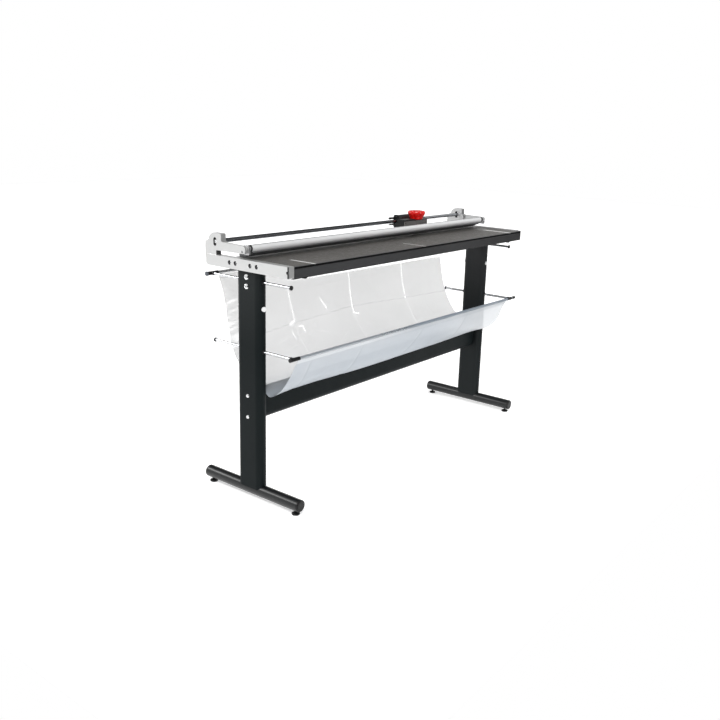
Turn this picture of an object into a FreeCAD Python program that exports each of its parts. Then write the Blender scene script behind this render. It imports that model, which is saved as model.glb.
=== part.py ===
import FreeCAD, Part
import math
import os

# Large format paper trimmer on a floor stand, with a film waste bag.
# Units are millimetres. X runs along the cut, -Y faces the operator, +Z is up.
# The origin is on the floor, under the middle of the whole object.

os.makedirs("parts", exist_ok=True)
V = FreeCAD.Vector

# ------------------------------------------------------------------ sizes
# stand
COL_X = 750.0            # column centre, each side of the middle
COL_HX = 22.5            # column half width along X
COL_HY = 58.0            # column half depth along Y
COL_WALL = 2.5
COL_TOP = 843.0
FOOT_R = 22.5            # foot tube outside radius
FOOT_Z = 37.6            # foot tube axis height
FOOT_Y = 240.0           # foot half length with its caps
FOOT_CAP = 8.0
PAD_Y = 215.0            # levelling foot position
PAD_R = 15.0
PAD_H = 10.0
BAR_Z = 359.5            # crossbar centre height
BAR_BOLT_Z = (319.1, 398.2)
PLUG_Z = 718.6
BRACKET_T = 6.0
HEAD_BOLT_Z = (793.0, 826.0)
HEAD_BOLT_Y = 3.0
BED_SCREW_Y = (-37.5, 34.5)

# waste bag frame
ROD_R = 5.0
UP_Z = 811.0             # upper arm rods
UP_Y_REAR = 205.0
UP_Y_FRONT_L = -188.0
UP_Y_FRONT_R = -175.0
LO_Z = 566.0             # lower arm rods
LO_Y_FRONT = -200.0
LO_Y_REAR = 192.0
LO_Y_REAR_R = 168.0
CROSS_R = 5.0            # rods that carry the film
TEE_R = 7.0
HEM_OUT = 6.7
HEM_IN = 5.4
FILM_T = 0.8
FILM_X = 722.0
FILM_PATH = [(202.6, 805.2), (194.0, 796.0), (184.0, 748.0), (155.0, 600.0),
             (108.0, 502.0), (60.0, 451.0), (2.0, 421.2), (-20.0, 415.2),
             (-45.0, 403.0), (-62.0, 396.0), (-112.0, 429.0), (-150.0, 479.0), (-181.0, 536.0),
             (-196.0, 557.0), (-198.4, 560.6)]

# bed
IN_X = 768.9             # inner faces of the side plates
BED_Z0 = 849.0
BED_TOP = 886.5
SHEET_T = 3.0
FRONT_Y = -216.0
FRONT_Z0 = 845.5         # bottom of the front profile
PROFILE_Y = -205.0
CUT_Y = 74.0             # cutting plane
HOLDER_Y0 = 52.0
HOLDER_Y1 = 88.0
STRIPS = ((-662.5, 5.75, -99.0), (-8.0, 4.0, -104.0), (676.0, 10.0, -72.0))

# side plates
BEAM_T = 25.4
ARM_T = 22.0
BEAM_TOP = 889.0
BEAM_BOT = 850.0
BEAM_REAR = 188.5
PLATE_REAR = 193.0
HEAD_FRONT = 108.0
ARM_FRONT = -11.0
BEAM_FRONT_L = -217.5
BEAM_FRONT_R = -195.0
SCREW_Z = 871.0
SCREW_Y = (63.5, 34.5, -37.5, -68.5)

# rail
RAIL_R = 8.0
RAIL_Y = 140.0
RAIL_Z = 935.0
RAIL_IN = 8.0            # how far each end sits in its slot in the side plate

# clamp
TUBE_R = 12.5
TUBE_Y = -12.0
TUBE_Z = 925.0
TUBE_X0 = -767.4
TUBE_X1 = 734.4
PIN_Y = 2.4
PIN_Z = 913.5
PIN_R = 3.0
CLAMP_TRAVEL = 5.0

# cutting carriage
BODY_X0 = 272.5
BODY_X1 = 453.5
BLOCK_X0 = 237.5
BLOCK_X1 = 411.0
GUARD_SPLIT = 329.5
WHEEL_X = 327.5
WHEEL_Z = 912.0
WHEEL_R = 28.0
KNOB_X = 359.0
KNOB_Y = 94.0
KNOB_Z = 943.3


# ------------------------------------------------------------------ helpers
def box(x0, x1, y0, y1, z0, z1):
    return Part.makeBox(x1 - x0, y1 - y0, z1 - z0, V(x0, y0, z0))


def cyl_x(r, x0, x1, y, z):
    a, b = min(x0, x1), max(x0, x1)
    return Part.makeCylinder(r, b - a, V(a, y, z), V(1, 0, 0))


def cyl_y(r, y0, y1, x, z):
    return Part.makeCylinder(r, y1 - y0, V(x, y0, z), V(0, 1, 0))


def cyl_z(r, z0, z1, x, y):
    return Part.makeCylinder(r, z1 - z0, V(x, y, z0), V(0, 0, 1))


def face2d(pts, place):
    """A flat face through corners (a, b, radius); a corner with a radius is rounded."""
    n = len(pts)
    info = []
    for i in range(n):
        x, y, r = pts[i]
        px, py = pts[i - 1][0], pts[i - 1][1]
        nx, ny = pts[(i + 1) % n][0], pts[(i + 1) % n][1]
        if r <= 0:
            info.append(((x, y), None, (x, y)))
            continue
        ux, uy = px - x, py - y
        wx, wy = nx - x, ny - y
        lu, lw = math.hypot(ux, uy), math.hypot(wx, wy)
        ux, uy, wx, wy = ux / lu, uy / lu, wx / lw, wy / lw
        ang = math.acos(max(-1.0, min(1.0, ux * wx + uy * wy)))
        t = r / math.tan(ang / 2)
        bx, by = ux + wx, uy + wy
        lb = math.hypot(bx, by)
        d = r / math.sin(ang / 2)
        cx, cy = x + bx / lb * d, y + by / lb * d
        info.append(((x + ux * t, y + uy * t),
                     (cx - bx / lb * r, cy - by / lb * r),
                     (x + wx * t, y + wy * t)))
    edges = []
    for i in range(n):
        p1, mid, p2 = info[i]
        if mid is not None:
            edges.append(Part.Arc(place(*p1), place(*mid), place(*p2)).toShape())
        q = info[(i + 1) % n][0]
        if math.hypot(q[0] - p2[0], q[1] - p2[1]) > 1e-5:
            edges.append(Part.makeLine(place(*p2), place(*q)))
    return Part.Face(Part.Wire(Part.__sortEdges__(edges)))


def prism_x(pts, x0, x1):
    a, b = min(x0, x1), max(x0, x1)
    return face2d(pts, lambda p, q: V(a, p, q)).extrude(V(b - a, 0, 0))


def prism_y(pts, y0, y1):
    return face2d(pts, lambda p, q: V(p, y0, q)).extrude(V(0, y1 - y0, 0))


def prism_z(pts, z0, z1):
    return face2d(pts, lambda p, q: V(p, q, z0)).extrude(V(0, 0, z1 - z0))


def rect(a0, a1, b0, b1, r=0.0):
    return [(a0, b0, r), (a1, b0, r), (a1, b1, r), (a0, b1, r)]


def turned(prof, origin, axis):
    """A solid turned from (radius, distance along the axis) points."""
    pts = [V(r, 0, h) for r, h in prof]
    f = Part.Face(Part.makePolygon(pts + [pts[0]]))
    s = f.revolve(V(0, 0, 0), V(0, 0, 1), 360)
    if s.ShapeType != "Solid":
        s = Part.Solid(s)
    rot = FreeCAD.Rotation(V(0, 0, 1), axis)
    s.Placement = FreeCAD.Placement(origin, rot)
    return s


def hexagon(af, place_axis, origin, length):
    """A hexagonal prism across flats af, along +X, +Y or +Z from origin."""
    pts = []
    for i in range(6):
        a = math.radians(60 * i + 30)
        pts.append(V(af / math.sqrt(3) * math.cos(a), af / math.sqrt(3) * math.sin(a), 0))
    s = Part.Face(Part.makePolygon(pts + [pts[0]])).extrude(V(0, 0, length))
    s.Placement = FreeCAD.Placement(origin, FreeCAD.Rotation(V(0, 0, 1), place_axis))
    return s


def group(solids):
    return Part.makeCompound(solids)


NODES = {}


def node(name, shape):
    if shape.ShapeType == "Compound" and len(shape.Solids) == 1:
        shape = shape.Solids[0]
    NODES[name] = shape


def socket_screw(origin, axis, head_r, head_h, shank_r, shank_l):
    """Cap screw: the head's underside is at origin and the shank runs along axis."""
    s = turned([(0, -head_h), (head_r - 0.5, -head_h), (head_r, -head_h + 0.5), (head_r, 0),
                (shank_r, 0), (shank_r, shank_l - 0.6), (shank_r - 0.6, shank_l), (0, shank_l)],
               origin, axis)
    back = origin - axis * (head_h + 0.01)
    return s.cut(hexagon(head_r * 0.95, axis, back, head_h * 0.55))


def domed_bolt(origin, axis, shank_l):
    """Large button-head bolt: underside of the head at origin."""
    prof = [(0, -5.5), (3.0, -5.5), (6.2, -4.8), (8.6, -3.2), (9.8, -1.4), (10.0, 0),
            (4.0, 0), (4.0, shank_l - 0.8), (3.2, shank_l), (0, shank_l)]
    s = turned(prof, origin, axis)
    return s.cut(hexagon(5.0, axis, origin - axis * 5.51, 3.0))


SIDES = (("left", -1.0), ("right", 1.0))


# ------------------------------------------------------------------ stand
def oval(cx, cy, ha, hb, along="y"):
    r = min(ha, hb)
    return rect(cx - ha, cx + ha, cy - hb, cy + hb, r)


feet_caps = []
for side, s in SIDES:
    xc = s * COL_X
    y_end = FOOT_Y - FOOT_CAP
    tube = cyl_y(FOOT_R, -y_end, y_end, xc, FOOT_Z)
    bore = cyl_y(FOOT_R - COL_WALL, -y_end, y_end, xc, FOOT_Z)
    tube = tube.cut(bore)
    for y in (-PAD_Y, PAD_Y):
        nut = hexagon(15.0, V(0, 0, 1), V(xc, y, 14.0), 14.0).common(bore)
        tube = tube.fuse(nut)
    for y in (-PAD_Y, PAD_Y):
        tube = tube.cut(cyl_z(4.05, 10.0, 30.0, xc, y))
    node("foot_tube_" + side, tube.removeSplitter())
    for e in (-1.0, 1.0):
        cap = turned([(0, 0), (17.0, 0), (17.0, 1.2), (19.5, 1.2), (21.6, 2.2), (22.5, 4.2), (22.5, 8.0),
                      (20.0, 8.0), (20.0, 14.0), (19.0, 16.0), (16.5, 16.0), (16.5, 10.0), (0, 10.0)],
                     V(xc, e * FOOT_Y, FOOT_Z), V(0, -e, 0))
        feet_caps.append(cap)
    for e, tag in ((-1.0, "front"), (1.0, "rear")):
        pad = turned([(0, 0), (13.5, 0), (PAD_R, 1.5), (PAD_R, 5.5), (12.5, 7.5), (6.5, PAD_H), (4.0, PAD_H),
                      (4.0, 33.0), (3.2, 34.0), (0, 34.0)], V(xc, e * PAD_Y, 0), V(0, 0, 1))
        node("levelling_foot_%s_%s" % (tag, side), pad)
node("foot_end_caps", group(feet_caps))

col_plugs, bushes, bar_bolts, bracket_bolts = [], [], [], []
for side, s in SIDES:
    xc = s * COL_X
    outer = prism_z(oval(xc, 0, COL_HX, COL_HY), 46.0, COL_TOP)
    inner = prism_z(oval(xc, 0, COL_HX - COL_WALL, COL_HY - COL_WALL), 40.0, COL_TOP + 5)
    col = outer.cut(inner).cut(cyl_y(FOOT_R, -100, 100, xc, FOOT_Z))
    for z in (UP_Z, LO_Z, PLUG_Z):
        col = col.cut(cyl_y(7.0, -70, 70, xc, z))
    x_out, x_in = xc + s * COL_HX, xc - s * COL_HX
    for z in BAR_BOLT_Z:
        col = col.cut(cyl_x(4.2, x_out + s * 5, x_in - s * 5, 0, z))
        bar_bolts.append(turned([(0, -4.6), (3.2, -4.6), (5.4, -3.9), (6.7, -2.2), (7.0, 0), (4.0, 0), (4.0, 72.0),
                                 (3.2, 73.0), (0, 73.0)], V(x_out, 0, z), V(-s, 0, 0)).cut(
            hexagon(5.0, V(-s, 0, 0), V(x_out + s * 4.61, 0, z), 2.6)))
    for z in HEAD_BOLT_Z:
        col = col.cut(cyl_x(4.2, xc, x_out + s * 5, HEAD_BOLT_Y, z))
        bracket_bolts.append(domed_bolt(V(x_out, HEAD_BOLT_Y, z), V(-s, 0, 0), 16.0))
    node("column_" + side, col.removeSplitter())

    lug_x0, lug_x1 = sorted((x_out - s * COL_WALL, x_out - s * (COL_WALL + 10.0)))
    plate = prism_z(rect(xc - COL_HX, xc + COL_HX, -58.0, 90.0, 6.0), COL_TOP, COL_TOP + BRACKET_T)
    lug = box(lug_x0, lug_x1, -22.0, 28.0, 775.0, COL_TOP)
    br = plate.fuse(lug)
    for z in HEAD_BOLT_Z:
        br = br.cut(cyl_x(4.0, lug_x0 - 1, lug_x1 + 1, HEAD_BOLT_Y, z))
    for y in BED_SCREW_Y:
        br = br.cut(cyl_z(4.2, COL_TOP - 2, BED_Z0 + 2, xc, y))
        bracket_bolts.append(domed_bolt(V(xc, y, COL_TOP), V(0, 0, 1), 21.0))
    node("head_bracket_" + side, br.removeSplitter())

    for e in (-1.0, 1.0):
        y0, y1 = sorted((e * 48.0, e * 60.6))
        head = cyl_y(9.0, y0, y1, xc, PLUG_Z).cut(outer)
        stem = cyl_y(7.0, *sorted((e * 50.0, e * 58.2)), xc, PLUG_Z)
        col_plugs.append(head.fuse(stem).removeSplitter())
        for z in (UP_Z, LO_Z):
            y0, y1 = sorted((e * 46.0, e * 59.6))
            rim = cyl_y(8.6, y0, y1, xc, z).cut(outer)
            y0, y1 = sorted((e * 46.0, e * 59.6))
            sleeve = cyl_y(7.0, y0, y1, xc, z)
            b = rim.fuse(sleeve).cut(cyl_y(ROD_R, y0 - 1, y1 + 1, xc, z))
            bushes.append(b.removeSplitter())
node("column_hole_plugs", group(col_plugs))
node("rod_bushes", group(bushes))
node("crossbar_bolts", group(bar_bolts))
node("bracket_bolts", group(bracket_bolts))

bar_x = COL_X - COL_HX
bar = prism_x(oval(0, BAR_Z, COL_HX, COL_HY), -bar_x, bar_x)
hollow = prism_x(oval(0, BAR_Z, COL_HX - COL_WALL, COL_HY - COL_WALL), -bar_x + 30, bar_x - 30)
bar = bar.cut(hollow)
for s in (-1.0, 1.0):
    for z in BAR_BOLT_Z:
        bar = bar.cut(cyl_x(4.0, s * (bar_x + 1), s * (bar_x - 31), 0, z))
node("crossbar", bar.removeSplitter())

# ------------------------------------------------------------------ waste bag frame
rod_caps, tees = [], []
for side, s in SIDES:
    xc = s * COL_X
    y_front = UP_Y_FRONT_L if s < 0 else UP_Y_FRONT_R
    node("arm_rod_upper_" + side, cyl_y(ROD_R, y_front, UP_Y_REAR - TEE_R, xc, UP_Z))
    y_rear = LO_Y_REAR if s < 0 else LO_Y_REAR_R
    node("arm_rod_lower_" + side, cyl_y(ROD_R, LO_Y_FRONT + TEE_R, y_rear, xc, LO_Z))
    for y, z, d in ((y_front, UP_Z, 1), (y_rear, LO_Z, -1)):
        rod_caps.append(turned([(0, -2.0), (7.0, -2.0), (8.0, -1.0), (8.0, 2.5), (ROD_R, 2.5), (ROD_R, 0), (0, 0)],
                               V(xc, y, z), V(0, d, 0)))

TEE_STUB = 14.0
TEE_REAR = ((-768.0, -722.6), (722.6, 768.0))
TEE_FRONT = ((-763.5, -722.6), (722.6, 757.5))
for (a, b), s in zip(TEE_REAR, (-1.0, 1.0)):
    t = cyl_x(TEE_R, a, b, UP_Y_REAR, UP_Z).fuse(cyl_y(TEE_R, UP_Y_REAR - TEE_STUB, UP_Y_REAR, s * COL_X, UP_Z))
    t = t.cut(cyl_x(CROSS_R, a - 1, b + 1, UP_Y_REAR, UP_Z))
    t = t.cut(cyl_y(ROD_R, UP_Y_REAR - TEE_STUB - 1, UP_Y_REAR - TEE_R, s * COL_X, UP_Z))
    tees.append(t.removeSplitter())
for (a, b), s in zip(TEE_FRONT, (-1.0, 1.0)):
    t = cyl_x(TEE_R, a, b, LO_Y_FRONT, LO_Z).fuse(cyl_y(TEE_R, LO_Y_FRONT, LO_Y_FRONT + TEE_STUB, s * COL_X, LO_Z))
    t = t.cut(cyl_x(CROSS_R, a - 1, b + 1, LO_Y_FRONT, LO_Z))
    t = t.cut(cyl_y(ROD_R, LO_Y_FRONT + TEE_R, LO_Y_FRONT + TEE_STUB + 1, s * COL_X, LO_Z))
    tees.append(t.removeSplitter())
node("rod_tees", group(tees))

node("basket_rod_rear", cyl_x(CROSS_R, -775.0, 775.0, UP_Y_REAR, UP_Z))
node("basket_rod_front", cyl_x(CROSS_R, -768.0, 788.5, LO_Y_FRONT, LO_Z))
for x, d, y, z, r, depth in ((-775.0, 1, UP_Y_REAR, UP_Z, 8.2, 3.0), (775.0, -1, UP_Y_REAR, UP_Z, 8.2, 3.0),
                             (-768.0, 1, LO_Y_FRONT, LO_Z, 6.8, 3.5), (788.5, -1, LO_Y_FRONT, LO_Z, 6.8, 17.0)):
    rod_caps.append(turned([(0, -2.0), (r - 1.0, -2.0), (r, -1.0), (r, depth), (CROSS_R, depth), (CROSS_R, 0), (0, 0)],
                           V(x, y, z), V(d, 0, 0)))
node("rod_end_caps", group(rod_caps))

# film bag: a thin sheet hung between the two rods, in straight panels that share their end faces
def offset_path(path, d):
    out = []
    for i, (y, z) in enumerate(path):
        ns = []
        if i > 0:
            dy, dz = y - path[i - 1][0], z - path[i - 1][1]
            l = math.hypot(dy, dz)
            ns.append((-dz / l, dy / l))
        if i < len(path) - 1:
            dy, dz = path[i + 1][0] - y, path[i + 1][1] - z
            l = math.hypot(dy, dz)
            ns.append((-dz / l, dy / l))
        if len(ns) == 1:
            n = ns[0]
            k = 1.0
        else:
            n = (ns[0][0] + ns[1][0], ns[0][1] + ns[1][1])
            l = math.hypot(*n)
            n = (n[0] / l, n[1] / l)
            k = 1.0 / (n[0] * ns[0][0] + n[1] * ns[0][1])
        out.append((y + n[0] * d * k, z + n[1] * d * k))
    return out


side_a = offset_path(FILM_PATH, FILM_T / 2)
side_b = offset_path(FILM_PATH, -FILM_T / 2)
film = []
hems = [cyl_x(HEM_OUT, -FILM_X, FILM_X, UP_Y_REAR, UP_Z), cyl_x(HEM_OUT, -FILM_X, FILM_X, LO_Y_FRONT, LO_Z)]
hem_in = [cyl_x(HEM_IN, -FILM_X - 1, FILM_X + 1, UP_Y_REAR, UP_Z), cyl_x(HEM_IN, -FILM_X - 1, FILM_X + 1, LO_Y_FRONT, LO_Z)]
for i in range(len(FILM_PATH) - 1):
    quad = [side_a[i], side_a[i + 1], side_b[i + 1], side_b[i]]
    seg = prism_x([(p[0], p[1], 0) for p in quad], -FILM_X, FILM_X)
    if i == 0:
        seg = seg.cut(hems[0])
    if i == len(FILM_PATH) - 2:
        seg = seg.cut(hems[1])
    film.extend(seg.Solids)
for h, k in zip(hems, hem_in):
    film.append(h.cut(k))
node("film_bag", group(film))

# ------------------------------------------------------------------ bed
bed = prism_x(rect(PROFILE_Y, HOLDER_Y0, BED_Z0, BED_TOP - SHEET_T), -IN_X, IN_X)
for y0, y1 in ((-202.0, -141.5), (-138.5, -74.5), (-62.5, -43.5), (-31.5, -6.5), (-3.5, 28.5), (40.5, 49.0)):
    bed = bed.cut(prism_x(rect(y0, y1, BED_Z0 + 3, BED_TOP - SHEET_T - 3), -IN_X - 1, IN_X + 1))
for s in (-1.0, 1.0):
    for y in BED_SCREW_Y:
        bed = bed.cut(cyl_z(4.0, BED_Z0 - 1, 864.0, s * COL_X, y))
    for y in SCREW_Y[1:]:
        bed = bed.cut(cyl_x(3.5, s * (IN_X + 1), s * (IN_X - 19.0), y, SCREW_Z))
node("bed_panel", bed.removeSplitter())

strips = [box(x - h, x + h, FRONT_Y + 1.5, y1, BED_TOP - 0.5, BED_TOP) for x, h, y1 in STRIPS]
sheet = box(-IN_X, IN_X, PROFILE_Y, CUT_Y - 6.0, BED_TOP - SHEET_T, BED_TOP)
# a groove under the thin top edge, above the rounded shoulder of the front face
front = prism_x([(PROFILE_Y, FRONT_Z0, 0), (FRONT_Y, FRONT_Z0, 2.0), (FRONT_Y, 880.2, 4.5), (FRONT_Y + 6.0, 880.2, 0),
                 (FRONT_Y + 6.0, 884.6, 0), (FRONT_Y + 1.0, 884.6, 0), (FRONT_Y + 1.0, BED_TOP, 0.8), (PROFILE_Y, BED_TOP, 0)],
                -IN_X, IN_X)
front = front.cut(cyl_x(3.5, -IN_X - 1, -IN_X + 19.0, -210.5, SCREW_Z - 2))
for b in strips:
    sheet = sheet.cut(b)
    front = front.cut(b)
node("top_sheet", sheet)
node("front_profile", front)
node("scale_strips", group(strips))
node("table_end_cap", prism_z([(IN_X, PROFILE_Y + 9.9, 0), (IN_X, FRONT_Y, 0), (789.5, FRONT_Y, 17.0),
                               (789.5, PROFILE_Y + 9.9, 0)], FRONT_Z0, BED_TOP + 1.0))
node("bed_foot_pads", group([turned([(0, 0), (7.5, 0), (9.0, 1.5), (9.0, 4.0), (0, 4.0)], V(x, -207.0, FRONT_Z0 - 4.0), V(0, 0, 1))
                             for x in (-707.5, 673.5)]))

holder = prism_x([(HOLDER_Y0, BED_Z0, 0), (HOLDER_Y0, BED_TOP - SHEET_T, 0), (CUT_Y - 6, BED_TOP - SHEET_T, 0),
                  (CUT_Y - 6, 862.0, 0), (CUT_Y, 862.0, 0), (CUT_Y, 880.0, 0), (HOLDER_Y1, 880.0, 1.5),
                  (HOLDER_Y1, BED_Z0, 1.5)], -IN_X, IN_X)
blade = box(-IN_X, IN_X, CUT_Y - 6, CUT_Y, 862.0, BED_TOP)
blade_screws = []
for i in range(11):
    x = -700.0 + 140.0 * i
    cut = cyl_y(2.5, 60.0, HOLDER_Y1 + 1, x, 870.5)
    sink = cyl_y(4.6, HOLDER_Y1 - 5.5, HOLDER_Y1 + 1, x, 870.5)
    holder = holder.cut(cut).cut(sink)
    blade = blade.cut(cut)
    blade_screws.append(socket_screw(V(x, HOLDER_Y1 - 5.5, 870.5), V(0, -1, 0), 4.2, 5.0, 2.5, 22.5))
for s in (-1.0, 1.0):
    holder = holder.cut(cyl_x(3.5, s * (IN_X + 1), s * (IN_X - 19.0), SCREW_Y[0], SCREW_Z))
node("lower_blade_holder", holder.removeSplitter())
node("fixed_blade", blade)
node("blade_screws", group(blade_screws))

# ------------------------------------------------------------------ side plates and rail
plate_screws, rail_bolts, guide_pins = [], [], []
for side, s in SIDES:
    x_in = s * IN_X
    x_beam = s * (IN_X + BEAM_T)
    x_arm = s * (IN_X + ARM_T)
    y_front = BEAM_FRONT_L if s < 0 else BEAM_FRONT_R

    def plan(y0, y1, x_out, r0, r1, z0, z1):
        return prism_z([(x_in, y0, 0), (x_out, y0, r0), (x_out, y1, r1), (x_in, y1, 0)], z0, z1)

    beam = prism_x([(y_front, BEAM_BOT, 3.0), (y_front, BEAM_TOP, 3.0), (BEAM_REAR, BEAM_TOP, 13.0),
                    (BEAM_REAR, BEAM_BOT, 20.0)], x_in, x_beam)
    beam = beam.common(plan(y_front, BEAM_REAR, x_beam, 9.0, 6.0, BEAM_BOT - 5, BEAM_TOP + 5))
    body = prism_x([(133.5, 872.0, 0), (133.5, 905.5, 5.0), (ARM_FRONT, 907.0, 9.0),
                    (ARM_FRONT, 934.0, 13.0), (HEAD_FRONT, 937.0, 8.0), (HEAD_FRONT, 965.0, 7.0), (153.0, 965.0, 6.0),
                    (169.0, 952.5, 3.0), (172.5, 942.0, 5.0), (192.5, 930.0, 6.0), (PLATE_REAR, 880.0, 4.0),
                    (184.0, 872.0, 0)], x_in, x_arm)
    low = body.common(plan(ARM_FRONT, PLATE_REAR, x_arm, 2.5, 4.0, 871.0, 938.5))
    high = body.common(plan(HEAD_FRONT, PLATE_REAR, x_arm, 3.0, 4.0, 938.5, 970.0))
    pl = beam.fuse(low).fuse(high)
    # the arm over the bed is thinner, and stands back from the bed
    pl = pl.cut(box(min(x_in - s, x_in + s * 10.0), max(x_in - s, x_in + s * 10.0), -30.0, 100.0, 896.0, 940.0))

    # slot for the rail bolt, wider on the outside
    def oblong(w, z0, z1, xa, xb):
        return prism_x([(RAIL_Y - w / 2, z0, w / 2), (RAIL_Y + w / 2, z0, w / 2),
                        (RAIL_Y + w / 2, z1, w / 2), (RAIL_Y - w / 2, z1, w / 2)], xa, xb)

    x_floor = s * (IN_X + 14.0)
    x_end = s * (IN_X + RAIL_IN)
    pl = pl.cut(oblong(15.0, RAIL_Z - 15.0, RAIL_Z + 15.0, x_floor, x_arm + s * 5))
    pl = pl.cut(oblong(17.0, RAIL_Z - 16.0, RAIL_Z + 16.0, x_in - s * 5, x_end))
    pl = pl.cut(oblong(9.0, RAIL_Z - 12.0, RAIL_Z + 12.0, x_end - s * 1, x_floor + s * 1))
    rail_bolts.append(socket_screw(V(x_floor, RAIL_Y, RAIL_Z), V(-s, 0, 0), 6.5, 5.0, 4.0, 34.0))

    for y in SCREW_Y + ((-210.5,) if s < 0 else ()):
        z = SCREW_Z - (2 if y < -200 else 0)
        x_seat = x_beam - s * 9.0
        r_sink = 8.0 if y > -200 else 5.0
        pl = pl.cut(cyl_x(r_sink, x_seat, x_beam + s, y, z)).cut(cyl_x(3.6, x_in - s, x_beam, y, z))
        plate_screws.append(socket_screw(V(x_seat, y, z), V(-s, 0, 0), r_sink - 0.7, 3.5, 3.5, 34.0))
    pl = pl.cut(cyl_x(4.6, x_arm - s * 6.0, x_arm + s, PIN_Y, PIN_Z)).cut(cyl_x(PIN_R, x_in - s, x_arm, PIN_Y, PIN_Z))
    guide_pins.append(socket_screw(V(x_arm - s * 6.0, PIN_Y, PIN_Z), V(-s, 0, 0), 4.2, 4.0, PIN_R, 15.5))
    node("side_plate_" + side, pl.removeSplitter())
node("side_plate_screws", group(plate_screws))
node("rail_bolts", group(rail_bolts))
node("clamp_guide_pins", group(guide_pins))

rail = cyl_x(RAIL_R, -IN_X - RAIL_IN, IN_X + RAIL_IN, RAIL_Y, RAIL_Z)
for s in (-1.0, 1.0):
    rail = rail.cut(cyl_x(4.0, s * (IN_X + RAIL_IN + 1), s * (IN_X - 26), RAIL_Y, RAIL_Z))
node("rail", rail)

# ------------------------------------------------------------------ clamp
node("clamp_tube", cyl_x(TUBE_R, TUBE_X0, TUBE_X1, TUBE_Y, TUBE_Z).cut(
    cyl_x(TUBE_R - 2.5, TUBE_X0 - 1, TUBE_X1 + 1, TUBE_Y, TUBE_Z)))

# a wedge: its front face slants back and down from under the tube to the foot
STRIP_Z = 893.5
strip = prism_x([(-23.0, 914.0, 0.5), (-23.0, 911.5, 0.5), (19.5, STRIP_Z, 1.0), (44.0, STRIP_Z, 1.0),
                 (44.0, 901.0, 2.0), (3.0, 914.0, 3.0)], -766.0, 736.0)
strip = strip.cut(cyl_x(TUBE_R, -770, 770, TUBE_Y, TUBE_Z))
strip = strip.cut(prism_x([(0.0, 905.5, 1), (21.5, 896.5, 1), (41.0, 896.5, 1), (41.0, 899.0, 0.5), (3.0, 910.8, 1)], -755, 725))
SCREW_FRONT_X = (-721.0, -30.0, 628.0)
slant = V(0, 42.5, -18.0)
slant_in = V(0, 18.0, 42.5)
slant_in.normalize()
seat = V(0, -23.0, 911.5) + slant * 0.84
strip_screws = []
for x in SCREW_FRONT_X:
    p = V(x, seat.y, seat.z)
    strip = strip.cut(Part.makeCylinder(1.5, 4.0, p - slant_in, slant_in))
    strip_screws.append(turned([(0, -2.4), (1.8, -2.4), (3.0, -1.5), (3.6, 0), (1.5, 0), (1.5, 3.0), (0, 3.0)], p, slant_in))
node("clamp_strip", strip.removeSplitter())
node("clamp_strip_screws", group(strip_screws))
node("clamp_rubber", group([box(-765.0, 735.0, 20.5, 31.0, 892.0, STRIP_Z), box(-765.0, 735.0, 33.0, 42.5, 892.0, STRIP_Z)]))

springs, blocks, plugs = [], [], []
for side, s in SIDES:
    x0, x1 = sorted((s * 771.4, s * 778.4))
    blk = prism_x([(-17.0, 903.0, 3.0), (9.0, 903.0, 3.0), (9.0, 936.0, 4.0), (-17.0, 936.0, 8.0)], x0, x1)
    tube_end = TUBE_X0 if s < 0 else TUBE_X1
    flange_end = -771.4 if s < 0 else 748.6
    spigot_end = tube_end - s * 20.0
    blk = blk.fuse(cyl_x(8.0, s * 771.4, spigot_end, TUBE_Y, TUBE_Z))
    blocks.append(blk.cut(prism_x([(PIN_Y - 3.05, PIN_Z - 3.1, 3.05), (PIN_Y + 3.05, PIN_Z - 3.1, 3.05),
                                   (PIN_Y + 3.05, 930.0, 0), (PIN_Y - 3.05, 930.0, 0)], x0 - 1, x1 + 1)).removeSplitter())
    # black plug between the block and the tube
    plug = cyl_x(TUBE_R, flange_end, tube_end, TUBE_Y, TUBE_Z).fuse(
        cyl_x(TUBE_R - 2.5, flange_end, spigot_end, TUBE_Y, TUBE_Z))
    plugs.append(plug.cut(cyl_x(8.0, flange_end + s, spigot_end - s, TUBE_Y, TUBE_Z)).removeSplitter())
    # compression spring between the pin and the block
    xm = s * 774.9
    z0, z1 = PIN_Z + PIN_R + 0.1, 929.9
    wire_r, mean_r = 0.4, 2.3
    hx = Part.makeHelix((z1 - z0 - 2 * wire_r) / 5.0, z1 - z0 - 2 * wire_r, mean_r)
    circ = Part.Wire([Part.makeCircle(wire_r, V(mean_r, 0, 0), V(0, 1, 0))])
    sp = Part.Wire(hx.Edges).makePipeShell([circ], True, True)
    if sp.ShapeType != "Solid":
        sp = Part.Solid(sp)
    sp.translate(V(xm, PIN_Y, z0 + wire_r))
    springs.append(sp)
node("clamp_end_blocks", group(blocks))
node("clamp_tube_plugs", group(plugs))
node("clamp_springs", group(springs))

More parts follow.
